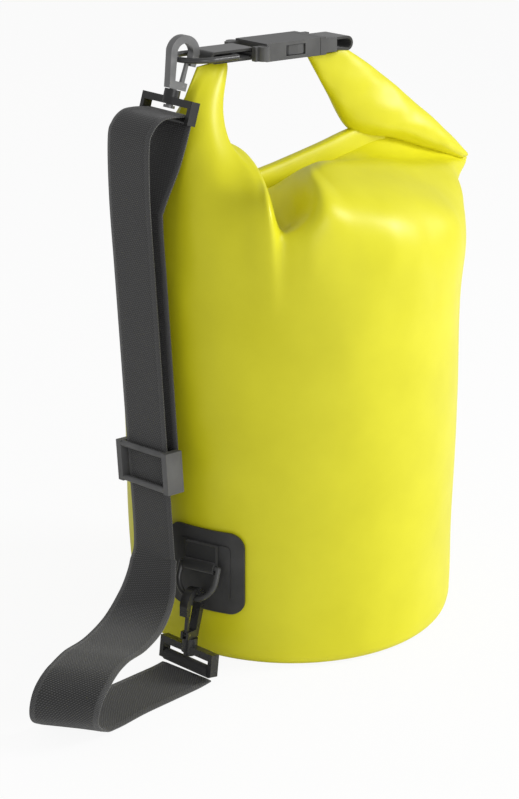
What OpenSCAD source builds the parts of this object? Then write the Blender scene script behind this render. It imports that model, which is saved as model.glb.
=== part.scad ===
// Roll-top dry bag, 10 litres, closed, with a carry buckle and a clip-on shoulder strap.
// Millimetres. The origin is the centre of the base on the floor and +Z is up.
// +X runs along the rolled mouth, away from the strap. -Y is the front.

/* [Bag] */
// Radius of the round base and tube
bag_r = 100; // [90:1:110]
// Thickness of the coated fabric
wall = 0.8; // [0.6:0.1:1.2]
// Height at which the round tube starts to flatten
shoulder_z = 228; // [215:1:235]
// Height of the ear corners, where the flattened tube is widest
ear_z = 262; // [258:1:266]
// Reach of the right ear from the axis
ear_reach = 140; // [132:1:146]
// Fillet between the base and the tube
base_fillet = 7; // [4:0.5:10]
// Height of the base panel's upturned flange
flange_h = 18; // [12:1:24]

/* [Rolled mouth] */
// Height of the buckle's middle plane
buckle_z = 344; // [341:1:350]
// Thickness of the rolled mouth
roll_t = 9; // [7:0.5:12]
// Depth of the roll, from its inner to its outer edge
roll_w = 25; // [22:1:27]
// Thickness of the stiffening strips inside the roll
stiffener_t = 1.2; // [0.8:0.2:1.6]

/* [Carry webbing and buckle] */
// Width of the webbing at the mouth
web_w = 20; // [16:1:24]
// Thickness of all the webbing
web_t = 1.4; // [1:0.1:1.8]
// Clearance of webbing inside its slots
web_gap = 0.3; // [0.2:0.05:0.6]
// Thickness of the side-release buckle
buckle_t = 10; // [9:0.5:12]
// Wall of the female buckle half
buckle_wall = 2; // [1.6:0.1:2.4]
// Travel of the male half when it is pulled out
release_travel = 30; // [26:1:34]
// Running clearance between the buckle halves
buckle_gap = 0.3; // [0.2:0.05:0.5]

/* [Rings and hooks] */
// Diameter of the ring wire
ring_d = 3.2; // [2.6:0.1:3.6]
// Thickness of the flat snap hooks
hook_t = 5; // [4:0.25:6]
// Width of the hook's crown
hook_w = 19.6; // [18:0.2:22]
// Section of the hook's crown, inside to outside
hook_bar = 4.4; // [3.6:0.1:4.8]
// Diameter of the swivel stem
stem_d = 4; // [3:0.1:5]
// Running clearance of the swivel stem
stem_gap = 0.08; // [0.05:0.01:0.1]
// Lean of the upper hook from the vertical, in degrees
hook_lean = 17; // [12:1:20]

/* [Shoulder strap] */
// Width of the shoulder strap
strap_w = 38; // [32:1:40]
// Distance of the strap's outer run from the bag's axis plane
strap_x = 116; // [115:1:122]
// Height of the slider's middle
slider_z = 120; // [110:1:140]

/* [Anchor patch] */
// Bearing of the patch, turned from the front towards the strap, in degrees
patch_turn = 69; // [60:1:75]
// Height of the patch's middle
patch_z = 58; // [54:1:62]
// Width and height of the patch
patch_w = 50; // [44:1:54]
// Thickness of the patch
patch_t = 1.2; // [0.8:0.1:1.6]

/* [Hidden] */
e = 0.01;
soft_gap = 0.3;

// ---- small helpers ----
function mix(a, b, w) = a * (1 - w) + b * w;
function unit(v) = v / norm(v);
// A closed skin around rings of equal size, with flat fan-free end caps
module skin(rings) {
    n = len(rings[0]);
    m = len(rings);
    sides = [for (i = [0:m - 2], j = [0:n - 1])
        let (a = i * n + j, b = i * n + (j + 1) % n)
        each [[a, b, b + n], [a, b + n, a + n]]];
    polyhedron(points = [for (r = rings) each r],
        faces = concat([[for (j = [n - 1:-1:0]) j]], sides,
            [[for (j = [0:n - 1]) (m - 1) * n + j]]), convexity = 8);
}
// A closed tube wall: rings run up the outside and back down the inside
module wall_skin(rings) {
    n = len(rings[0]);
    m = len(rings);
    polyhedron(points = [for (r = rings) each r],
        faces = [for (i = [0:m - 1], j = [0:n - 1])
            let (a = i * n + j, b = i * n + (j + 1) % n, k = ((i + 1) % m) * n - i * n)
            each [[a, b, b + k], [a, b + k, a + k]]], convexity = 12);
}
module box(x0, x1, y0, y1, z0, z1) {
    translate([x0, y0, z0]) cube([x1 - x0, y1 - y0, z1 - z0]);
}
module rod_y(d, x, z, y0, y1) {
    translate([x, y0, z]) rotate([-90, 0, 0]) cylinder(d = d, h = y1 - y0, $fn = 32);
}

// ---- bag skin ----
sides = 64;
left_reach = 102;
mouth_y = 1.4;
mouth_slit = 0.6;
crest_rise = 28;
crest_y = 95;
// Edges of the rolled mouth in the XZ plane: left end, left crease, right crease, right end
loop_r = ring_d / 2 + web_gap;
left_top = buckle_z - loop_r - web_t;
right_top = buckle_z - buckle_t / 2 - 0.4;
roll_in = [[-44, left_top], [-50, 272], [45.5, 290.5], [10, right_top]];
roll_out = [[-44 - roll_w, left_top], [-56 - roll_w, 272 - roll_w],
    [102, 298 - roll_w], [39, right_top]];
// Point along the outer edge, u from 0 at the left end to 1 at the right end
function edge_point(u, grow) = let (s = min(2.999, u * 3), i = floor(s),
    p = mix(roll_out[i], roll_out[i + 1], s - i)) p + [(u - 0.5) * 2 * grow, -grow];
function ring_low(a, z, r) = [r * cos(a), r * sin(a), z];
function ring_ear(a, inset) = [((cos(a) > 0 ? ear_reach : left_reach) - 3 * inset) * cos(a),
    (crest_y - inset) * sin(a), ear_z + crest_rise * pow(sin(a), 2) - inset * (1 + abs(sin(a)))];
function ring_mouth(a, half, grow) = let (p = edge_point((cos(a) + 1) / 2, grow))
    [p[0], half * sin(a), p[1]];
function bag_point(a, w, inset, half, grow) =
    let (p0 = ring_low(a, shoulder_z, bag_r - inset), p1 = ring_ear(a, inset),
        p2 = ring_mouth(a, half, grow),
        straight = w < 0.5 ? mix(p0, p1, w * 2) : mix(p1, p2, w * 2 - 1),
        curve = p0 * pow(1 - w, 2) + p1 * 2 * w * (1 - w) + p2 * w * w)
    mix(straight, curve, pow(sin(a), 2));
function bag_ring(w, inset, half, grow) =
    [for (j = [0:sides - 1]) bag_point(j * 360 / sides, w, inset, half, grow)];
function tube_ring(z, inset) = [for (j = [0:sides - 1]) ring_low(j * 360 / sides, z, bag_r - inset)];
tube_zs = [base_fillet, 60, 120, 180];
steps = 10;

module bag_tube() {
    outside = concat([for (z = tube_zs) tube_ring(z, 0)],
        [for (i = [0:steps]) bag_ring(i / steps, 0, mouth_y, soft_gap)]);
    inside = concat([for (z = tube_zs) tube_ring(z, wall)],
        [for (i = [0:steps]) bag_ring(i / steps, wall, mouth_slit, soft_gap)]);
    last = len(inside) - 1;
    color("yellow") wall_skin(concat(outside, [for (i = [last:-1:0]) inside[i]]));
}

flange_r = (bag_r - wall) * cos(180 / sides) - 0.05;
module base_panel() {
    color("gold") rotate_extrude($fn = 128) difference() {
        union() {
            square([flange_r - base_fillet, wall]);
            translate([flange_r - base_fillet, base_fillet]) intersection() {
                difference() {
                    circle(r = base_fillet, $fn = 64);
                    circle(r = base_fillet - wall, $fn = 64);
                }
                translate([0, -base_fillet]) square([base_fillet, base_fillet]);
            }
            translate([flange_r - wall, base_fillet]) square([wall, flange_h - base_fillet]);
        }
    }
}

seam_turn = -11;
seam_w = 12;
seam_t = 0.4;
module side_seam_tape() {
    sweep = seam_w / bag_r * 180 / PI;
    color("khaki") rotate([0, 0, seam_turn - sweep / 2])
        rotate_extrude(angle = sweep, $fn = 128)
        translate([bag_r + 0.02, flange_h]) square([seam_t, shoulder_z - flange_h - 4]);
}

// ---- rolled mouth ----
function strip(inset) = concat([for (i = [0:3]) mix(roll_in[i], roll_out[i], inset)],
    [for (i = [3:-1:0]) mix(roll_in[i], roll_out[i], 1 - inset)]);
module strip_plate(inset, t) {
    rotate([90, 0, 0]) linear_extrude(t, center = true) polygon(strip(inset));
}
stiffener_y = 2.2;
stiffener_inset = 0.2;
module rolled_mouth() {
    color("yellow") difference() {
        strip_plate(0, roll_t);
        for (s = [-1, 1]) translate([0, s * stiffener_y, 0])
            strip_plate(stiffener_inset - 0.02, stiffener_t + 0.1);
    }
}
module mouth_stiffeners() {
    color("white") for (s = [-1, 1]) translate([0, s * stiffener_y, 0])
        strip_plate(stiffener_inset, stiffener_t);
}

// ---- carry webbing ----
female_x0 = -39;
split_x = 8;
male_x1 = 20.5;
bar_in = 2;
female_bar_x = female_x0 + bar_in;
male_bar_x = male_x1 - bar_in;
fold_x = -67;
module band(x0, x1, r, t) {
    difference() {
        union() {
            for (x = [x0, x1]) translate([x, 0]) circle(r = r + t, $fn = 48);
            translate([x0, -r - t]) square([x1 - x0, 2 * (r + t)]);
        }
        for (x = [x0, x1]) translate([x, 0]) circle(r = r, $fn = 48);
        translate([x0, -r]) square([x1 - x0, 2 * r]);
    }
}
module webbing_left() {
    color("dimgray") translate([0, 0, buckle_z]) rotate([90, 0, 0])
        linear_extrude(web_w, center = true)
        band(fold_x + loop_r + web_t, female_bar_x, loop_r, web_t);
}
right_fold_x = 34;
right_sag = 0.1;
// Outline of an open loop of webbing: round the bar, along, round the fold and back lower
function arc_points(x, y, r, a0, a1) = [for (a = [a0:15:a1]) [x + r * cos(a), y + r * sin(a)]];
function loop_outline(r, fold_r, drop) = concat(arc_points(male_bar_x, 0, r, 90, 270),
    arc_points(right_fold_x - 2, -drop, fold_r, -90, 90));
module webbing_right() {
    drop = (buckle_t / 2 - loop_r - web_t + right_sag) / 2;
    color("dimgray") translate([0, 0, buckle_z]) rotate([90, 0, 0])
        linear_extrude(web_w, center = true) difference() {
            polygon(loop_outline(loop_r + web_t, loop_r + web_t + drop, drop));
            polygon(loop_outline(loop_r, loop_r + drop, drop));
        }
}

// ---- buckle ----
buckle_w = web_w + 8;
half_w = buckle_w / 2;
half_t = buckle_t / 2;
cheek = 3.4;
cavity_x = -20;
block_x = -31;
cavity_y = half_w - 2.5;
cavity_t = half_t - buckle_wall;
window_x0 = -17;
window_x1 = -3;
knob_r = 3.6;
male_block = 4.2;
tongue_y = 3;
tongue_x = -14;
prong_t = 2.2;
prong_y = cavity_y - 1 - prong_t / 2;
prong_z = cavity_t - 0.3;
prong_pivot_x = split_x - 1;
barb_gap = 0.3;
module buckle_female() {
    color("gray") translate([0, 0, buckle_z]) union() {
        difference() {
            box(block_x, split_x, -half_w, half_w, -half_t, half_t);
            box(cavity_x, split_x + 1, -cavity_y, cavity_y, -cavity_t, cavity_t);
            for (s = [-1, 1]) translate([0, s * half_w, 0])
                box(window_x0, window_x1, -4, 4, -cavity_t, cavity_t);
        }
        for (s = [-1, 1]) {
            box(female_x0, block_x, min(s * half_w, s * (half_w - cheek)),
                max(s * half_w, s * (half_w - cheek)), -half_t + 1, half_t - 1);
            translate([female_x0 + knob_r + 2, s * half_w, -half_t + 1])
                cylinder(r = knob_r, h = buckle_t - 2, $fn = 48);
        }
        rod_y(ring_d, female_bar_x, 0, -half_w + cheek - 0.5, half_w - cheek + 0.5);
    }
}
module buckle_male() {
    x0 = split_x + buckle_gap;
    color("gray") translate([0, 0, buckle_z]) union() {
        box(x0, x0 + male_block, -half_w, half_w, -half_t, half_t);
        for (s = [-1, 1])
            box(x0 + male_block, male_x1, min(s * half_w, s * (half_w - cheek)),
                max(s * half_w, s * (half_w - cheek)), -half_t + 1, half_t - 1);
        rod_y(ring_d, male_bar_x, 0, -half_w + cheek - 0.5, half_w - cheek + 0.5);
        box(tongue_x, x0, -tongue_y, tongue_y, -prong_z, prong_z);
        translate([tongue_x, 0, -prong_z]) cylinder(r = tongue_y, h = 2 * prong_z, $fn = 48);
    }
}
// One prong of the male half, for the side with positive Y
module prong() {
    barb_x1 = window_x1 - barb_gap;
    tip_x = window_x0 + barb_gap;
    lo = prong_y - prong_t / 2;
    hi = prong_y + prong_t / 2;
    color("gray") translate([0, 0, buckle_z - prong_z]) union() {
        translate([prong_pivot_x, prong_y]) cylinder(r = prong_t / 2 + 0.08, h = 2 * prong_z, $fn = 32);
        linear_extrude(2 * prong_z) polygon([[prong_pivot_x, lo], [prong_pivot_x, hi], [barb_x1, hi],
            [barb_x1, half_w - 0.9], [barb_x1 - 5, half_w - 0.4], [tip_x + 2.5, half_w - 1.2],
            [tip_x, hi], [tip_x, lo - 1]]);
    }
}
module buckle_prong_front() { mirror([0, 1, 0]) prong(); }
module buckle_prong_rear() { prong(); }

// ---- D rings: bar along X at the origin, bow hanging towards -Z ----
module d_ring(half, leg) {
    r = ring_d / 2;
    rotate([0, 90, 0]) cylinder(r = r, h = 2 * half, center = true, $fn = 32);
    for (s = [-1, 1]) translate([s * half, 0, 0]) {
        sphere(r = r, $fn = 32);
        translate([0, 0, -leg]) cylinder(r = r, h = leg, $fn = 32);
    }
    translate([0, 0, -leg]) rotate([-90, 0, 0])
        rotate_extrude(angle = 180, $fn = 64) translate([half, 0]) circle(r = r, $fn = 32);
}
upper_bar_x = -52;
upper_half = web_w / 2 + ring_d / 2 + 2.4;
upper_leg = 16;
module upper_d_ring() {
    color("black") translate([upper_bar_x, 0, buckle_z]) rotate([0, 90, 0])
        rotate([0, 0, 90]) d_ring(upper_half, upper_leg);
}

// ---- snap hook: axis +Z, flat in XZ, stem below the origin ----
crown_x = 1;
crown_z = 20;
crown_in = hook_w / 2 - hook_bar;
tip_z = crown_z - 6;
boss_h = 4.4;
gate_x = 4.8;
gate_z = 2.4;
gate_t = 2;
gate_pin_d = 1.4;
barrel_h = 8.2;
barrel_d = 9;
stem_l = 9;
head_h = 1.6;
seat = 0.3;
module hook_body() {
    left = crown_x - hook_w / 2;
    right = crown_x + hook_w / 2;
    difference() {
        union() {
            rotate([90, 0, 0]) linear_extrude(hook_t, center = true) union() {
                difference() {
                    translate([crown_x, crown_z]) circle(d = hook_w, $fn = 64);
                    translate([crown_x, crown_z]) circle(r = crown_in, $fn = 64);
                    translate([left - 1, crown_z - hook_w]) square([hook_w + 2, hook_w]);
                }
                polygon([[left, crown_z + e], [crown_x - crown_in, crown_z + e], [-1.5, boss_h],
                    [-1.5, 0], [-4.5, 0], [-5.4, boss_h]]);
                polygon([[crown_x + crown_in, crown_z + e], [right, crown_z + e],
                    [right - 1, tip_z], [crown_x + crown_in, tip_z]]);
                translate([-4.4, 0]) square([11.4, boss_h]);
            }
            translate([0, 0, -stem_l]) cylinder(d = stem_d, h = stem_l + 1, $fn = 48);
            translate([0, 0, -stem_l - head_h]) cylinder(d = stem_d + 2.4, h = head_h, $fn = 48);
        }
        box(gate_x - 2.2, 8, -gate_t / 2 - 0.15, gate_t / 2 + 0.15, 0.4, boss_h + 1);
        rod_y(gate_pin_d, gate_x, gate_z, -hook_t, hook_t);
    }
}
module hook_gate() {
    top = tip_z + 2.6;
    difference() {
        rotate([90, 0, 0]) linear_extrude(gate_t, center = true) union() {
            translate([gate_x, gate_z]) circle(r = 1.7, $fn = 32);
            polygon([[gate_x - 1.2, gate_z], [gate_x + 1.2, gate_z],
                [crown_x + crown_in - 0.3, tip_z], [crown_x + crown_in - 0.3, top],
                [crown_x + crown_in - 2.1, top], [crown_x + crown_in - 2.1, tip_z - 1]]);
        }
        rod_y(gate_pin_d + 0.1, gate_x, gate_z, -hook_t, hook_t);
    }
}
module hook_pin() {
    rod_y(gate_pin_d - 0.02, gate_x, gate_z, -hook_t / 2, hook_t / 2);
}
// Base: barrel round the stem, rail, two posts and the strap bar
rail_z = -4.4;
post_w = 3;
bar_z = -15.5;
bar_d = 3.6;
base_t = 5.6;
base_half = strap_w / 2 + 0.6;
module hook_base() {
    difference() {
        union() {
            translate([0, 0, -barrel_h - seat]) cylinder(d = barrel_d, h = barrel_h, $fn = 48);
            box(-base_t / 2, base_t / 2, -base_half - post_w, base_half + post_w,
                -barrel_h - seat, rail_z);
            for (s = [-1, 1]) translate([0, s * (base_half + post_w / 2), 0])
                box(-base_t / 2, base_t / 2, -post_w / 2, post_w / 2, bar_z - bar_d / 2, rail_z);
            rod_y(bar_d, 0, bar_z, -base_half - e, base_half + e);
        }
        translate([0, 0, -20]) cylinder(d = stem_d + 2 * stem_gap, h = 40, $fn = 48);
        translate([0, 0, -stem_l - head_h - 6])
            cylinder(d = stem_d + 3.4, h = 6 + head_h + 0.3, $fn = 48);
    }
}
// Place of the upper hook: the ring's bow lies inside the throat, clear of the shank
bow_x = upper_bar_x - upper_leg - upper_half;
throat_x = -1.2;
throat_z = 16;
module at_upper_hook() {
    translate([bow_x, 0, buckle_z]) rotate([0, hook_lean, 0])
        translate([-throat_x, 0, -throat_z]) children();
}
module upper_hook() { color("silver") at_upper_hook() hook_body(); }
module upper_hook_gate() { color("silver") at_upper_hook() hook_gate(); }
module upper_gate_pin() { color("black") at_upper_hook() hook_pin(); }
module upper_hook_base() { color("dimgray") at_upper_hook() hook_base(); }

// ---- anchor patch: X across, -Y out of the wall ----
module at_anchor() { rotate([0, 0, -patch_turn]) children(); }
module round_square(w, h, r) {
    translate([-w / 2 + r, -h / 2]) square([w - 2 * r, h]);
    translate([-w / 2, -h / 2 + r]) square([w, h - 2 * r]);
    for (x = [-1, 1], y = [-1, 1]) translate([x * (w / 2 - r), y * (h / 2 - r)])
        circle(r = r, $fn = 32);
}
module curved_plate(r0, t, w, h, r, z) {
    intersection() {
        difference() {
            cylinder(r = r0 + t, h = 2 * z, $fn = 128);
            translate([0, 0, -1]) cylinder(r = r0, h = 2 * z + 2, $fn = 128);
        }
        translate([0, 0, z]) rotate([90, 0, 0]) linear_extrude(2 * bag_r) round_square(w, h, r);
    }
}
panel_t = 0.6;
panel_w = patch_w - 16;
module anchor_patch() {
    color("#303030") at_anchor()
        curved_plate(bag_r + 0.12, patch_t, patch_w, patch_w, 9, patch_z);
}
patch_face = bag_r + patch_t + 0.3;
module patch_panel() {
    color("#3c3c3c") at_anchor() curved_plate(patch_face, panel_t, panel_w, panel_w, 3, patch_z);
}
tab_y = patch_face + panel_t + 0.02;
tab_z0 = patch_z + 6;
tab_z1 = patch_z + 17;
lower_bar_y = tab_y + web_t + loop_r;
lower_bar_z = tab_z0 - 2;
lower_half = web_w / 2 + ring_d / 2 + 0.6;
lower_leg = 7;
lower_swing = 25;
// Running clearance between the lower ring's bow and the hook's crown
bow_gap = 0.7;
module patch_tab() {
    color("#2a2a2a") at_anchor() rotate([90, 0, 90]) linear_extrude(web_w, center = true)
        union() {
            translate([-tab_y - 2 * web_t, tab_z0]) square([2 * web_t, tab_z1 - tab_z0]);
            difference() {
                union() {
                    translate([-lower_bar_y, lower_bar_z]) circle(r = loop_r + web_t, $fn = 48);
                    translate([-tab_y - 2 * web_t, lower_bar_z])
                        square([2 * web_t, tab_z0 - lower_bar_z + e]);
                }
                translate([-lower_bar_y, lower_bar_z]) circle(r = loop_r, $fn = 48);
            }
        }
}
module lower_d_ring() {
    color("#404040") at_anchor() translate([0, -lower_bar_y, lower_bar_z])
        rotate([-lower_swing, 0, 0]) d_ring(lower_half, lower_leg);
}
// Place of the lower hook: its crown bears on the ring's bow
lower_lean = 10;
lower_base_turn = -18;
bow_r = lower_leg + lower_half;
module at_lower_hook() {
    at_anchor() translate([0, -lower_bar_y - bow_r * sin(lower_swing),
        lower_bar_z - bow_r * cos(lower_swing)]) rotate([-lower_lean, 0, 0]) rotate([0, 0, -90])
        translate([-crown_x, 0, -crown_z - crown_in + ring_d / 2 + bow_gap]) children();
}
module lower_hook() { color("#303030") at_lower_hook() hook_body(); }
module lower_hook_gate() { color("#303030") at_lower_hook() hook_gate(); }
module lower_gate_pin() { color("black") at_lower_hook() hook_pin(); }
module lower_hook_base() {
    color("#252525") at_lower_hook() rotate([0, 0, lower_base_turn]) hook_base();
}
fold_r = bar_d / 2 + web_gap;
module strap_lower_fold() {
    color("#404040") at_lower_hook() rotate([0, 0, lower_base_turn])
        translate([0, 0, bar_z]) rotate([90, 0, 0]) linear_extrude(strap_w, center = true)
        difference() {
            circle(r = fold_r + web_t, $fn = 48);
            circle(r = fold_r, $fn = 48);
        }
}

// ---- shoulder strap ----
strap_slope = 0.09;
slope_z = 270;
function strap_y(z) = -strap_slope * max(0, slope_z - z);
// Flat ribbon through points, each with the direction of its width
function ribbon_ring(p, i, wide) = let (n = len(p) - 1,
    along = unit(p[min(i + 1, n)] - p[max(i - 1, 0)]),
    w = unit(wide[i] - along * (wide[i] * along)), flat = cross(along, w),
    a = w * strap_w / 2, b = flat * web_t / 2)
    [p[i] + a + b, p[i] - a + b, p[i] - a - b, p[i] + a - b];
module ribbon(p, wide) {
    skin([for (i = [0:len(p) - 1]) ribbon_ring(p, i, wide)]);
}
// Smooth curve through hand-chosen points
function spline(p, k, s) = let (n = len(p) - 1, a = p[max(k - 1, 0)], b = p[k],
    c = p[k + 1], d = p[min(k + 2, n)])
    0.5 * ((2 * b) + (c - a) * s + (2 * a - 5 * b + 4 * c - d) * s * s
        + (3 * b - a - 3 * c + d) * pow(s, 3));
function smooth(p, m) = [for (k = [0:len(p) - 2], s = [0:1 / m:1 - 1 / m + 0.001])
    if (s < 0.999) spline(p, k, s), p[len(p) - 1]];
// Middle of the upper base's strap bar
base_reach = throat_z - bar_z;
upper_strap_bar = [bow_x - throat_x * cos(hook_lean) - base_reach * sin(hook_lean), 0,
    buckle_z + throat_x * sin(hook_lean) - base_reach * cos(hook_lean)];
turn_r = bar_d / 2 + web_gap + web_t / 2;
function round_bar(a) = upper_strap_bar + turn_r * [cos(a), 0, sin(a)];
top_route = [[-100, 0, 317], [-107, 0, 316], [-113, 0, 311]];
run_route = concat([round_bar(60), round_bar(95)], top_route,
    [for (z = [302, 270, 230, 180, 130, 76]) [-strap_x, strap_y(z), z]],
    [[-119, -20, 62], [-128, -26, 48], [-144, -36, 39], [-165, -48, 37], [-185, -57, 38],
    [-201, -66, 36], [-212, -70, 27], [-213, -68, 14], [-203, -61, 4], [-188, -55, 1],
    [-165, -50, 1], [-140, -47, 1.2], [-122, -45, 1.4], [-113, -43.5, 1.8]]);
run_wide = concat([for (i = [1:11]) [0, 1, 0]],
    [[-0.05, 1, 0], [-0.2, 1, 0], [-0.4, 1, 0], [-0.6, 1, 0], [-0.75, 0.9, 0],
    [-0.75, 0.9, 0], [-0.75, 0.9, 0], [-0.75, 0.9, 0], [-0.7, 0.9, 0], [-0.55, 1, 0],
    [-0.35, 1, 0], [-0.2, 1, 0], [-0.1, 1, 0], [-0.1, 1, 0]]);
module strap_run() {
    color("#484848") ribbon(smooth(run_route, 3), smooth(run_wide, 3));
}

// ---- slider ----
rail_w = 4.5;
slider_half = strap_w / 2 + 0.6;
slider_h = 24;
slider_bar = 3.6;
front_bar_x = -web_t / 2 - web_gap - slider_bar / 2;
tail_x = web_t / 2 + soft_gap;
mid_bar_x = tail_x + web_t + web_gap + slider_bar / 2;
slider_tilt = atan(strap_slope);
module at_slider() {
    translate([-strap_x, strap_y(slider_z), slider_z]) rotate([-slider_tilt, 0, 0]) children();
}
module strap_slider() {
    x0 = front_bar_x - slider_bar / 2;
    x1 = mid_bar_x + slider_bar / 2;
    color("gray") at_slider() union() {
        for (s = [-1, 1]) {
            translate([0, s * (slider_half + rail_w / 2), 0])
                box(x0, x1, -rail_w / 2, rail_w / 2, -slider_h / 2, slider_h / 2);
            rod_y(slider_bar, front_bar_x, s * (slider_h - slider_bar) / 2,
                -slider_half - e, slider_half + e);
        }
        rod_y(slider_bar, mid_bar_x, 0, -slider_half - e, slider_half + e);
    }
}
end_r = slider_bar / 2 + web_gap;
end_tail = 8;
module strap_end_fold() {
    color("#404040") at_slider() translate([mid_bar_x, 0, 0]) rotate([90, 0, 0])
        linear_extrude(strap_w, center = true) union() {
            difference() {
                circle(r = end_r + web_t, $fn = 48);
                circle(r = end_r, $fn = 48);
                translate([-10, 0]) square([20, 10]);
            }
            for (x = [-end_r - web_t, end_r]) translate([x, 0]) square([web_t, end_tail]);
        }
}
return_x = -strap_x + mid_bar_x + end_r + web_t / 2;
return_z0 = slider_z + end_tail + 0.4;
return_route = concat([for (z = [return_z0, 180, 230, 258]) [return_x, strap_y(z), z]],
    [[return_x + 2, strap_y(268), 268], [-93.5, 0, 290], round_bar(-35), round_bar(5)]);
return_wide = [for (p = return_route) [0, 1, 0]];
module strap_return() {
    color("#404040") ribbon(smooth(return_route, 3), smooth(return_wide, 3));
}

bag_tube();
base_panel();
side_seam_tape();
rolled_mouth();
mouth_stiffeners();
webbing_left();
webbing_right();
buckle_female();
buckle_male();
buckle_prong_front();
buckle_prong_rear();
upper_d_ring();
anchor_patch();
patch_panel();
patch_tab();
lower_d_ring();
upper_hook_base();
upper_hook();
upper_hook_gate();
upper_gate_pin();
lower_hook_base();
lower_hook();
lower_hook_gate();
lower_gate_pin();
strap_run();
strap_return();
strap_end_fold();
strap_lower_fold();
strap_slider();
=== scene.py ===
"""Looks of the roll-top dry bag: coated fabric, webbing, hardware finishes, light and camera."""
import math

import bpy
import numpy as np
from mathutils import Matrix, Vector, noise


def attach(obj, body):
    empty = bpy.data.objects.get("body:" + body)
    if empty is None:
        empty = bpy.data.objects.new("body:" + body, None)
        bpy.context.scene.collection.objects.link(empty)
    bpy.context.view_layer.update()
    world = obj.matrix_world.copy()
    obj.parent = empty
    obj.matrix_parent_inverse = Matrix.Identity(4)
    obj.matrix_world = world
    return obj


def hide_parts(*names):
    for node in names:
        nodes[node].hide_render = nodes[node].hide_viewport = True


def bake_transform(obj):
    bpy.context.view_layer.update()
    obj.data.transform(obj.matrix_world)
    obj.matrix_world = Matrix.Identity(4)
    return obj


MM = 0.001
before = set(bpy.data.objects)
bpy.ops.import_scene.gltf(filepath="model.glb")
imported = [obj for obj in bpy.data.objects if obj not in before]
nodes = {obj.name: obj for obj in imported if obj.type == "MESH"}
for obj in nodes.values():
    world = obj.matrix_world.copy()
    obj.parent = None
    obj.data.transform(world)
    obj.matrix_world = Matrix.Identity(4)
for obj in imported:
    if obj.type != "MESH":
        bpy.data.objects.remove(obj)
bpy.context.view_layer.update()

# ---------------------------------------------------------------- sizes, in mm
BAG_R = 100.0
SHOULDER_Z = 205.0
SIDES = 400
STRAP_W = 38.0
WEB_T = 1.4
STRAP_X = 116.0
STRAP_SLOPE = 0.09
SLOPE_Z = 270.0
HOOK_LEAN = 17.0


# ---------------------------------------------------------------- mesh helpers
def new_object(name, verts, faces, uvs=None, smooth=True):
    """A mesh object from points in mm; uvs is one pair per vertex, in metres."""
    mesh = bpy.data.meshes.new(name)
    mesh.from_pydata([tuple(np.asarray(v) * MM) for v in verts], [], faces)
    mesh.validate()
    if uvs is not None:
        layer = mesh.uv_layers.new(name="UVMap")
        index = np.empty(len(mesh.loops), dtype=np.int32)
        mesh.loops.foreach_get("vertex_index", index)
        layer.data.foreach_set("uv", np.asarray(uvs, dtype=np.float32)[index].ravel())
    mesh.polygons.foreach_set("use_smooth", [smooth] * len(mesh.polygons))
    obj = bpy.data.objects.new(name, mesh)
    bpy.context.collection.objects.link(obj)
    return obj


def ring_faces(rings, count, closed_ends=True):
    """Quads between rings of equal size, with end caps."""
    faces = []
    for i in range(rings - 1):
        for j in range(count):
            a = i * count + j
            b = i * count + (j + 1) % count
            faces.append((a, b, b + count, a + count))
    if closed_ends:
        faces.append(tuple(range(count - 1, -1, -1)))
        faces.append(tuple((rings - 1) * count + j for j in range(count)))
    return faces


def catmull(points, per_span):
    """Smooth curve through given points."""
    pts = np.asarray(points, float)
    out = []
    for k in range(len(pts) - 1):
        a, b = pts[max(k - 1, 0)], pts[k]
        c, d = pts[k + 1], pts[min(k + 2, len(pts) - 1)]
        for s in np.arange(per_span) / per_span:
            out.append(0.5 * (2 * b + (c - a) * s + (2 * a - 5 * b + 4 * c - d) * s**2
                              + (3 * b - a - 3 * c + d) * s**3))
    out.append(pts[-1])
    return np.array(out)


def table_curve(table, keys):
    """Cubic interpolation of table rows (key, values...) at the given keys."""
    rows = np.asarray(table, float)
    keys = np.clip(keys, rows[0, 0], rows[-1, 0])
    spans = np.clip(np.searchsorted(rows[:, 0], keys, side="right") - 1, 0, len(rows) - 2)
    slopes = np.gradient(rows[:, 1:], rows[:, 0], axis=0)
    width = (rows[spans + 1, 0] - rows[spans, 0])[:, None]
    t = ((keys - rows[spans, 0])[:, None]) / width
    a, b = rows[spans, 1:], rows[spans + 1, 1:]
    ma, mb = slopes[spans] * width, slopes[spans + 1] * width
    return ((2 * t**3 - 3 * t**2 + 1) * a + (t**3 - 2 * t**2 + t) * ma
            + (3 * t**2 - 2 * t**3) * b + (t**3 - t**2) * mb)


def bevel(obj, width, segments=3, angle=35):
    """Rounded edges on a moulded piece."""
    mod = obj.modifiers.new("bevel", "BEVEL")
    mod.width = width * MM
    mod.segments = segments
    mod.limit_method = "ANGLE"
    mod.angle_limit = math.radians(angle)
    mod.harden_normals = False


def set_material(obj, material):
    obj.data.materials.clear()
    obj.data.materials.append(material)


# ---------------------------------------------------------------- materials
def node_material(name):
    material = bpy.data.materials.new(name)
    material.use_nodes = True
    tree = material.node_tree
    return material, tree, tree.nodes["Principled BSDF"]


def add(tree, kind, **values):
    node = tree.nodes.new(kind)
    for key, value in values.items():
        if key in node.inputs:
            node.inputs[key].default_value = value
        else:
            setattr(node, key, value)
    return node


def ramp_between(tree, source, low, high, start=0.3, end=0.7):
    ramp = add(tree, "ShaderNodeValToRGB")
    ramp.color_ramp.elements[0].position = start
    ramp.color_ramp.elements[1].position = end
    ramp.color_ramp.elements[0].color = (*low, 1)
    ramp.color_ramp.elements[1].color = (*high, 1)
    tree.links.new(source, ramp.inputs["Fac"])
    return ramp.outputs["Color"]


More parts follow.
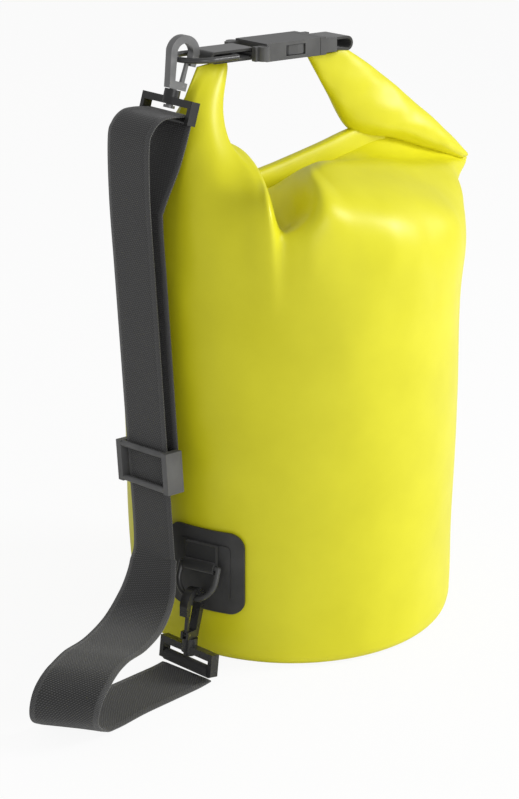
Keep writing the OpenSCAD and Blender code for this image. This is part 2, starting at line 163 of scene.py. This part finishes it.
def bump_chain(tree, bsdf, layers):
    """Stacks (height socket, strength, distance) layers into the shader's normal."""
    normal = None
    for height, strength, distance in layers:
        bump = add(tree, "ShaderNodeBump", Strength=strength, Distance=distance)
        tree.links.new(height, bump.inputs["Height"])
        if normal is not None:
            tree.links.new(normal, bump.inputs["Normal"])
        normal = bump.outputs["Normal"]
    tree.links.new(normal, bsdf.inputs["Normal"])


def tarpaulin_material(name, low, high):
    """Satin PVC over a woven scrim: soft mottling, fine leathery grain and soft crumples."""
    material, tree, bsdf = node_material(name)
    place = add(tree, "ShaderNodeTexCoord").outputs["Object"]
    mottle = add(tree, "ShaderNodeTexNoise", Scale=22.0, Detail=4.0, Roughness=0.55)
    grain = add(tree, "ShaderNodeTexNoise", Scale=900.0, Detail=2.0)
    crumple = add(tree, "ShaderNodeTexNoise", Scale=38.0, Detail=3.0, Roughness=0.45)
    for node in (mottle, grain, crumple):
        tree.links.new(place, node.inputs["Vector"])
    tree.links.new(ramp_between(tree, mottle.outputs["Fac"], low, high), bsdf.inputs["Base Color"])
    rough = add(tree, "ShaderNodeMapRange", **{"To Min": 0.34, "To Max": 0.5})
    tree.links.new(crumple.outputs["Fac"], rough.inputs["Value"])
    tree.links.new(rough.outputs["Result"], bsdf.inputs["Roughness"])
    bump_chain(tree, bsdf, [(crumple.outputs["Fac"], 0.16, 0.0016),
                            (grain.outputs["Fac"], 0.10, 0.0002)])
    bsdf.inputs["Specular IOR Level"].default_value = 0.45
    return material


def webbing_material(name, low, high, period=1.25):
    """Twill webbing: diagonal ribs crossed by weft lines, on UVs laid out in metres."""
    material, tree, bsdf = node_material(name)
    uv = add(tree, "ShaderNodeTexCoord").outputs["UV"]
    turned = add(tree, "ShaderNodeMapping")
    turned.inputs["Rotation"].default_value = (0, 0, math.radians(38))
    tree.links.new(uv, turned.inputs["Vector"])
    scale = 2 * math.pi / (20 * period * MM)
    rib = add(tree, "ShaderNodeTexWave", Scale=scale, Distortion=0.0)
    weft = add(tree, "ShaderNodeTexWave", Scale=scale * 1.15, Distortion=0.0)
    weft.bands_direction = "Y"
    rib.bands_direction = "X"
    fuzz = add(tree, "ShaderNodeTexNoise", Scale=1400.0, Detail=2.0)
    tree.links.new(turned.outputs["Vector"], rib.inputs["Vector"])
    tree.links.new(uv, weft.inputs["Vector"])
    tree.links.new(uv, fuzz.inputs["Vector"])
    mixed = add(tree, "ShaderNodeMath", operation="MULTIPLY")
    tree.links.new(rib.outputs["Fac"], mixed.inputs[0])
    tree.links.new(weft.outputs["Fac"], mixed.inputs[1])
    tree.links.new(ramp_between(tree, mixed.outputs[0], low, high, 0.05, 0.8),
                   bsdf.inputs["Base Color"])
    bump_chain(tree, bsdf, [(mixed.outputs[0], 0.6, 0.0003), (fuzz.outputs["Fac"], 0.15, 0.0001)])
    bsdf.inputs["Roughness"].default_value = 0.72
    bsdf.inputs["Sheen Weight"].default_value = 0.25
    bsdf.inputs["Sheen Roughness"].default_value = 0.5
    return material


def moulded_material(name, low, high, rough, grain=0.08, metallic=0.0):
    """Moulded or cast part: slight colour drift, fine grain and uneven gloss."""
    material, tree, bsdf = node_material(name)
    place = add(tree, "ShaderNodeTexCoord").outputs["Object"]
    drift = add(tree, "ShaderNodeTexNoise", Scale=70.0, Detail=3.0)
    fine = add(tree, "ShaderNodeTexNoise", Scale=2200.0, Detail=2.0)
    for node in (drift, fine):
        tree.links.new(place, node.inputs["Vector"])
    tree.links.new(ramp_between(tree, drift.outputs["Fac"], low, high), bsdf.inputs["Base Color"])
    gloss = add(tree, "ShaderNodeMapRange", **{"To Min": rough - 0.06, "To Max": rough + 0.08})
    tree.links.new(drift.outputs["Fac"], gloss.inputs["Value"])
    tree.links.new(gloss.outputs["Result"], bsdf.inputs["Roughness"])
    bump_chain(tree, bsdf, [(fine.outputs["Fac"], grain, 0.0001)])
    bsdf.inputs["Metallic"].default_value = metallic
    return material


def grey(value):
    return (value, value, value * 1.01)


yellow = tarpaulin_material("tarpaulin", (0.72, 0.68, 0.010), (0.79, 0.75, 0.016))
strap_weave = webbing_material("strap_weave", grey(0.016), grey(0.084))
strap_edge = webbing_material("strap_selvedge", grey(0.041), grey(0.121), 0.9)
mouth_weave = webbing_material("mouth_weave", grey(0.027), grey(0.101), 0.9)
tab_weave = webbing_material("tab_weave", grey(0.011), grey(0.041), 0.9)
buckle_plastic = moulded_material("buckle_plastic", grey(0.070), grey(0.101), 0.36)
slider_plastic = moulded_material("slider_plastic", grey(0.095), grey(0.135), 0.42)
black_plastic = moulded_material("black_plastic", grey(0.019), grey(0.034), 0.27)
ring_plastic = moulded_material("ring_plastic", grey(0.041), grey(0.068), 0.25)
# Upper hook and gate: painted lighter grey than the black lower hook, a painted highlight for the
# light falling on them
hook_painted_highlight = moulded_material("hook_painted_highlight", grey(0.22), grey(0.30), 0.33, metallic=0.75)
pin_steel = moulded_material("pin_steel", grey(0.28), grey(0.36), 0.3, metallic=1.0)
patch_rubber = moulded_material("patch_rubber", grey(0.032), grey(0.056), 0.46, 0.2)

# ---------------------------------------------------------------- camera
CAMERA_TURN = math.radians(-40)
CAMERA_TILT = math.radians(19)
CAMERA_FAR = 1200.0
AIM_SIDE = -18.9
AIM_Z = 130.7
CAMERA_ROLL = math.radians(0.14)
LENS = 89.66


def make_camera():
    right = Vector((math.cos(CAMERA_TURN), math.sin(CAMERA_TURN), 0))
    away = Vector((-math.sin(CAMERA_TURN), math.cos(CAMERA_TURN), 0))
    place = -away * CAMERA_FAR * math.cos(CAMERA_TILT)
    place += Vector((0, 0, CAMERA_FAR * math.sin(CAMERA_TILT) + AIM_Z))
    aim = right * AIM_SIDE + Vector((0, 0, AIM_Z))
    data = bpy.data.cameras.new("camera")
    data.lens = LENS
    data.sensor_width = 36
    data.clip_end = 20
    camera = bpy.data.objects.new("camera", data)
    turn = (aim - place).to_track_quat("-Z", "Y").to_matrix()
    turn = turn @ Matrix.Rotation(CAMERA_ROLL, 3, "Z")
    camera.matrix_world = Matrix.Translation(place * MM) @ turn.to_4x4()
    bpy.context.collection.objects.link(camera)
    bpy.context.scene.camera = camera


make_camera()


# ---------------------------------------------------------------- bag skin
# Share runs from 0 at the left to 1 at the right. Mouth line: (share, x, z)
MOUTH = [(0.000, -69, 338.5), (0.120, -55, 339.3), (0.160, -49, 338.5), (0.175, -49, 334),
         (0.190, -52, 326), (0.210, -56, 311),
         (0.224, -62, 302), (0.236, -58, 298), (0.248, -50, 291), (0.264, -46, 277),
         (0.290, -38, 268), (0.500, 8, 269), (0.600, 36, 277), (0.700, 62, 284), (0.800, 90, 280),
         (0.900, 116, 272), (1.000, 140, 262)]
# Three points on the fabric's way from the shoulder to the mouth, as x, depth and z of each
FRONT = [(0.000, -99, 0, 258, -92, 0, 292, -80, 0, 318),
         (0.080, -97, 24, 258, -90, 17, 292, -77, 8, 318),
         (0.150, -90, 43, 260, -80, 29, 290, -66, 12, 318),
         (0.200, -83, 58, 265, -69, 37, 286, -60, 14, 306),
         (0.225, -79, 67, 268, -62, 43, 284, -60, 17, 297),
         (0.245, -75, 72, 269, -57, 45, 280, -48, 18, 290),
         (0.262, -69, 72, 257, -56, 50, 259, -48, 18, 268),
         (0.290, -62, 77, 256, -50, 54, 257, -38, 20, 266),
         (0.315, -56, 82, 261, -44, 57, 264, -30, 21, 269),
         (0.345, -49, 86, 266, -40, 60, 279, -20, 22, 275),
         (0.400, -32, 90, 264, -26, 55, 284, -8, 22, 279),
         (0.500, 0, 93, 260, 4, 50, 282, 12, 20, 278),
         (0.600, 33, 88, 254, 36, 46, 276, 40, 18, 277),
         (0.700, 62, 75, 248, 66, 40, 269, 68, 16, 273),
         (0.800, 87, 55, 244, 94, 32, 264, 95, 13, 269),
         (0.900, 107, 29, 243, 118, 16, 260, 120, 8, 265),
         (0.960, 117, 9, 244, 134, 6, 257, 136, 3, 261),
         (1.000, 120, 0, 245, 138, 0, 257, 142, 0, 260)]
REAR = [(0.00, -99, 0, 258, -92, 0, 292, -80, 0, 318),
        (0.10, -95, 30, 254, -88, 21, 286, -74, 10, 314),
        (0.20, -82, 57, 248, -72, 40, 274, -58, 18, 300),
        (0.28, -65, 74, 242, -56, 48, 262, -50, 20, 276),
        (0.36, -43, 88, 240, -36, 54, 254, -30, 20, 262),
        (0.50, 0, 97, 240, 2, 56, 256, 6, 20, 265),
        (0.64, 42, 86, 240, 46, 48, 258, 50, 18, 270),
        (0.78, 77, 60, 240, 84, 36, 258, 88, 14, 268),
        (0.90, 105, 29, 242, 118, 15, 259, 120, 7, 265),
        (1.00, 120, 0, 245, 138, 0, 257, 142, 0, 260)]
MOUTH_HALF = 1.6
FILLET = 8.0
FILLET_RINGS = 12
SKIN_INSET = 3.0
SEAM_TURN = math.radians(349)
SEAM_HALF = 7.0
SPAN_RINGS = (34, 26, 20, 18)
LOW_RINGS = 90


def soft_noise(points, size, seed):
    """Smooth noise at points in mm; size is its wavelength in mm."""
    shift = Vector((seed * 13.7, seed * 7.1, seed * 3.3))
    return np.array([noise.noise(Vector(p) / size + shift) for p in points])


def bag_surface():
    """Rings of the bag's skin, from the round base edge to the mouth."""
    angle = np.arange(SIDES) / SIDES * 2 * math.pi
    share = np.abs(1 - angle / math.pi)
    front = angle > math.pi
    side = np.where(front, -1.0, 1.0)
    mouth = table_curve(MOUTH, share)
    way = np.where(front[:, None], table_curve(FRONT, share), table_curve(REAR, share))
    rings = []
    for i in range(LOW_RINGS):
        if i < FILLET_RINGS:
            turn = i / (FILLET_RINGS - 1) * math.pi / 2
            radius = np.full(SIDES, BAG_R - SKIN_INSET - FILLET + FILLET * math.sin(turn))
            z = np.full(SIDES, FILLET * (1 - math.cos(turn)))
        else:
            up = (i - FILLET_RINGS + 1) / (LOW_RINGS - FILLET_RINGS)
            z0 = FILLET + (SHOULDER_Z - FILLET) * up
            z = np.full(SIDES, z0)
            radius = np.full(SIDES, BAG_R - SKIN_INSET + 3.2 * min(1, z0 / 150) ** 0.8)
        rings.append(np.stack([radius * np.cos(angle), radius * np.sin(angle), z], 1))
    p0 = rings[-1]
    stops = [p0 - np.array([0, 0, 45.0]), p0]
    for k in (0, 3, 6):
        stops.append(np.stack([way[:, k], side * way[:, k + 1], way[:, k + 2]], 1))
    lip = side * MOUTH_HALF * np.sin(np.clip(share, 0.02, 0.98) * math.pi) ** 0.3
    stops.append(np.stack([mouth[:, 0], lip, mouth[:, 1]], 1))
    stops.append(2 * stops[-1] - stops[-2])
    for k, count in enumerate(SPAN_RINGS):
        a, b, c, d = stops[k:k + 4]
        for i in range(1, count + 1):
            w = i / count
            rings.append(0.5 * (2 * b + (c - a) * w + (2 * a - 5 * b + 4 * c - d) * w**2
                                + (3 * b - a - 3 * c + d) * w**3))
    return np.array(rings), angle


def make_bag():
    rings, angle = bag_surface()
    count = len(rings)
    points = rings.reshape(-1, 3)
    up = np.clip((points[:, 2] - 150) / 80, 0, 1)
    low = np.clip((60 - points[:, 2]) / 60, 0, 1)
    outward = np.zeros_like(points)
    outward[:, :2] = points[:, :2] / (np.linalg.norm(points[:, :2], axis=1)[:, None] + 1e-6)
    big = soft_noise(points, 70, 1)
    mid = soft_noise(points * np.array([1, 1, 0.6]), 34, 2)
    fine = soft_noise(points * np.array([1, 1, 0.5]), 15, 3)
    fade = np.clip(points[:, 2] / 10, 0, 1) * np.clip(np.abs(points[:, 1]) / 14, 0, 1)
    push = (1.3 * big + (0.5 + 1.6 * up + 0.5 * low) * mid + 0.5 * up * fine) * fade
    arc = np.abs((np.tile(angle, count) - SEAM_TURN + math.pi) % (2 * math.pi) - math.pi) * BAG_R
    seam_end = np.clip((235 - points[:, 2]) / 15, 0, 1)
    push += 0.55 * np.clip((SEAM_HALF - arc) / 1.4, 0, 1) * seam_end * fade
    points = points + outward * push[:, None]
    points[:, 2] = np.maximum(points[:, 2], 0.0)
    faces = ring_faces(count, SIDES, closed_ends=False)
    faces.append(tuple(range(SIDES - 1, -1, -1)))
    obj = new_object("bag_skin", points, faces)
    sub = obj.modifiers.new("smooth", "SUBSURF")
    sub.levels = sub.render_levels = 1
    set_material(obj, yellow)
    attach(obj, "bag")
    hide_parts("bag_tube", "base_panel", "side_seam_tape")
    return obj


make_bag()


# ---------------------------------------------------------------- rolled mouth
def pillow(name, lower, upper, heights, around=40, power=0.8, wobble=1.2, seed=5):
    """A flattened, puffed band between two edge curves; heights is (share, half thickness)."""
    low = catmull(lower, 14)
    high = catmull(upper, 14)
    share = np.linspace(0, 1, len(low))
    half = table_curve(heights, share)[:, 0]
    verts = []
    for k in range(len(low)):
        for j in range(around):
            a = j / around * 2 * math.pi
            q = 0.5 + 0.5 * math.cos(a)
            bulge = math.copysign(abs(math.sin(a)) ** power, math.sin(a)) * half[k]
            x, z = low[k] + (high[k] - low[k]) * q
            verts.append((x, bulge, z))
    points = np.array(verts)
    rough = soft_noise(points * np.array([1, 2, 1]), 22, seed)
    rough = rough + 0.4 * soft_noise(points, 9, seed + 1)
    points[:, 1] += np.sign(points[:, 1]) * rough * wobble * np.clip(np.abs(points[:, 1]) / 3, 0, 1)
    obj = new_object(name, points, ring_faces(len(low), around))
    sub = obj.modifiers.new("smooth", "SUBSURF")
    sub.levels = sub.render_levels = 1
    set_material(obj, yellow)
    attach(obj, "bag")
    return obj


EAR_LOW = [(10, 337), (27, 312), (45, 289), (72, 282), (100, 272), (124, 264), (138, 261)]
EAR_HIGH = [(39, 338.4), (58, 327), (78, 313), (100, 296), (120, 280), (134, 268), (141, 262.5)]
ear = pillow("right_ear", EAR_LOW, EAR_HIGH,
             [(0, 3.6), (0.12, 5), (0.3, 9), (0.55, 14), (0.8, 11), (0.95, 5), (1, 1.2)])
bar = pillow("roll_bar", [(-58, 256), (-20, 258), (20, 265), (52, 273), (72, 276)],
             [(-50, 272), (-18, 277), (16, 284), (47, 291), (66, 290)],
             [(0, 4.2), (0.3, 4.6), (0.7, 4.6), (1, 3.8)], power=0.45, wobble=0.4, seed=9)
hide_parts("rolled_mouth", "mouth_stiffeners")


# ---------------------------------------------------------------- straps
def ribbon(name, route, wide, width, thick, body, material, edge_material, replaced,
           per_span=8):
    """Flat webbing with rounded, slightly thicker selvedges, and UVs in metres."""
    path = catmull(route, per_span)
    across = catmull(wide, per_span)
    profile = []
    half_w, half_t = width / 2, thick / 2
    steps = 12
    for s in (1, -1):
        for k in range(steps + 1):
            u = half_w * (1 - 2 * k / steps) * s
            lip = 0.16 * (abs(u) > half_w * 0.9)
            profile.append((u, (half_t + lip) * s if abs(u) < half_w - 1e-6 else half_t * 0.55 * s))
    verts, uvs = [], []
    travelled = 0.0
    for i, point in enumerate(path):
        along = path[min(i + 1, len(path) - 1)] - path[max(i - 1, 0)]
        along /= np.linalg.norm(along)
        w = across[i] - along * (across[i] @ along)
        w /= np.linalg.norm(w)
        flat = np.cross(along, w)
        if i:
            travelled += np.linalg.norm(point - path[i - 1])
        for u, t in profile:
            verts.append(point + w * u + flat * t)
            uvs.append((u * MM, travelled * MM))
    count = len(profile)
    obj = new_object(name, verts, ring_faces(len(path), count), uvs)
    obj.data.materials.append(material)
    obj.data.materials.append(edge_material)
    offset = np.array([u for u, _ in profile])
    for k, polygon in enumerate(obj.data.polygons):
        j = k % count
        mid = abs(offset[j] + offset[(j + 1) % count]) / 2
        if k < (len(path) - 1) * count and mid > half_w * 0.88:
            polygon.material_index = 1
    if body:
        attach(obj, body)
    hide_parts(*replaced)
    return obj


def strap_y(z):
    return -STRAP_SLOPE * max(0, SLOPE_Z - z)


BOW_X = -82.0
BUCKLE_Z = 344.0
BASE_REACH = 31.5
THROAT_X = -1.2
lean = math.radians(HOOK_LEAN)
upper_bar = np.array([BOW_X - THROAT_X * math.cos(lean) - BASE_REACH * math.sin(lean), 0,
                      BUCKLE_Z + THROAT_X * math.sin(lean) - BASE_REACH * math.cos(lean)])
TURN_R = 1.8 + 0.3 + WEB_T / 2


def round_bar(degrees):
    a = math.radians(degrees)
    return tuple(upper_bar + TURN_R * np.array([math.cos(a), 0, math.sin(a)]))


RUN = [round_bar(60), round_bar(95), (-100, 0, 317), (-107, 0, 316), (-113, 0, 311)]
RUN += [(-STRAP_X, strap_y(z), z) for z in (302, 270, 230, 180, 130, 76)]
RUN += [(-119, -20, 62), (-128, -26, 48), (-144, -36, 39), (-165, -48, 37), (-185, -57, 38),
        (-201, -66, 36), (-212, -70, 27), (-213, -68, 14), (-203, -61, 4), (-188, -55, 1),
        (-165, -50, 1), (-140, -47, 1.2), (-122, -45, 1.4), (-113, -43.5, 1.8)]
RUN_WIDE = [(0, 1, 0)] * 11
RUN_WIDE += [(-0.05, 1, 0), (-0.2, 1, 0), (-0.4, 1, 0), (-0.6, 1, 0), (-0.75, 0.9, 0),
             (-0.75, 0.9, 0), (-0.75, 0.9, 0), (-0.75, 0.9, 0), (-0.7, 0.9, 0), (-0.55, 1, 0),
             (-0.35, 1, 0), (-0.2, 1, 0), (-0.1, 1, 0), (-0.1, 1, 0)]
ribbon("strap_main", RUN, RUN_WIDE, STRAP_W, WEB_T, "bag", strap_weave, strap_edge,
       ["strap_run"])
RETURN_X = -108.5
RETURN_Z0 = 128.4
RETURN = [(RETURN_X, strap_y(z), z) for z in (RETURN_Z0, 180, 230, 258)]
RETURN += [(RETURN_X + 2, strap_y(268), 268), (-95.5, 0, 290), round_bar(-35), round_bar(5)]
back_run = ribbon("strap_back", RETURN, [(0, 1, 0)] * len(RETURN), STRAP_W, WEB_T, None,
                  strap_weave, strap_edge, ["strap_return"])
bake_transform(back_run)

# ---------------------------------------------------------------- hardware finishes
FINISH = {
    "webbing_left": mouth_weave, "webbing_right": mouth_weave, "patch_tab": tab_weave,
    "strap_end_fold": strap_weave, "strap_lower_fold": strap_weave,
    "anchor_patch": patch_rubber, "patch_panel": patch_rubber,
    "buckle_female": buckle_plastic, "buckle_male": buckle_plastic,
    "buckle_prong_front": buckle_plastic, "buckle_prong_rear": buckle_plastic,
    "upper_d_ring": ring_plastic, "lower_d_ring": ring_plastic,
    "upper_hook": hook_painted_highlight, "upper_hook_gate": hook_painted_highlight,
    "upper_gate_pin": pin_steel, "lower_gate_pin": pin_steel,
    "upper_hook_base": black_plastic, "lower_hook_base": black_plastic,
    "lower_hook": black_plastic, "lower_hook_gate": black_plastic,
    "strap_slider": slider_plastic,
}
BEVELS = {"upper_hook": 1.2, "lower_hook": 1.2, "upper_hook_base": 0.7, "lower_hook_base": 0.7,
          "buckle_female": 0.9, "buckle_male": 0.9, "buckle_prong_front": 0.5,
          "buckle_prong_rear": 0.5, "strap_slider": 0.8, "anchor_patch": 0.35, "patch_panel": 0.25,
          "upper_hook_gate": 0.4, "lower_hook_gate": 0.4}
for name, material in FINISH.items():
    set_material(nodes[name], material)
for name, width in BEVELS.items():
    bevel(nodes[name], width)


# ---------------------------------------------------------------- floor, backdrop and light
CAMERA_WHITE = 0.92
FLOOR_HALF = 6.0
FLOOR_DROP = 0.0003
WORLD_FILL = 0.46


def white_behind(name, colour):
    """Reads as plain white to the camera, and still catches shadow."""
    material, tree, bsdf = node_material(name)
    bsdf.inputs["Base Color"].default_value = (*colour, 1)
    bsdf.inputs["Roughness"].default_value = 0.9
    glow = add(tree, "ShaderNodeEmission", Strength=1.0)
    seen = add(tree, "ShaderNodeLightPath")
    share = add(tree, "ShaderNodeMath", operation="MULTIPLY")
    share.inputs[1].default_value = CAMERA_WHITE
    blend = add(tree, "ShaderNodeMixShader")
    tree.links.new(seen.outputs["Is Camera Ray"], share.inputs[0])
    tree.links.new(share.outputs[0], blend.inputs[0])
    tree.links.new(bsdf.outputs[0], blend.inputs[1])
    tree.links.new(glow.outputs[0], blend.inputs[2])
    tree.links.new(blend.outputs[0], tree.nodes["Material Output"].inputs["Surface"])
    return material


def make_stage():
    mesh = bpy.data.meshes.new("floor")
    corners = [(-1, -1), (1, -1), (1, 1), (-1, 1)]
    mesh.from_pydata([(x * FLOOR_HALF, y * FLOOR_HALF, -FLOOR_DROP) for x, y in corners], [],
                     [(0, 1, 2, 3)])
    floor = bpy.data.objects.new("floor", mesh)
    bpy.context.collection.objects.link(floor)
    set_material(floor, white_behind("floor_white", (0.95, 0.95, 0.95)))
    world = bpy.data.worlds.new("world")
    bpy.context.scene.world = world
    world.use_nodes = True
    tree = world.node_tree
    background = tree.nodes["Background"]
    background.inputs["Color"].default_value = (1, 1, 1, 1)
    path = tree.nodes.new("ShaderNodeLightPath")
    strength = tree.nodes.new("ShaderNodeMapRange")
    strength.inputs["To Min"].default_value = WORLD_FILL
    strength.inputs["To Max"].default_value = 1.0
    tree.links.new(path.outputs["Is Camera Ray"], strength.inputs["Value"])
    tree.links.new(strength.outputs["Result"], background.inputs["Strength"])


def lamp(name, place, aim, size, power):
    data = bpy.data.lights.new(name, "AREA")
    data.energy = power
    data.size = size
    obj = bpy.data.objects.new(name, data)
    obj.location = place
    turn = Vector(aim) - Vector(place)
    obj.rotation_euler = turn.to_track_quat("-Z", "Y").to_euler()
    bpy.context.collection.objects.link(obj)


make_stage()
lamp("key", (1.15, -0.95, 0.95), (0, 0, 0.17), 0.55, 17)
lamp("front", (-0.35, -1.7, 0.7), (0, 0, 0.15), 0.9, 6.5)
bpy.context.scene.view_settings.view_transform = "Standard"
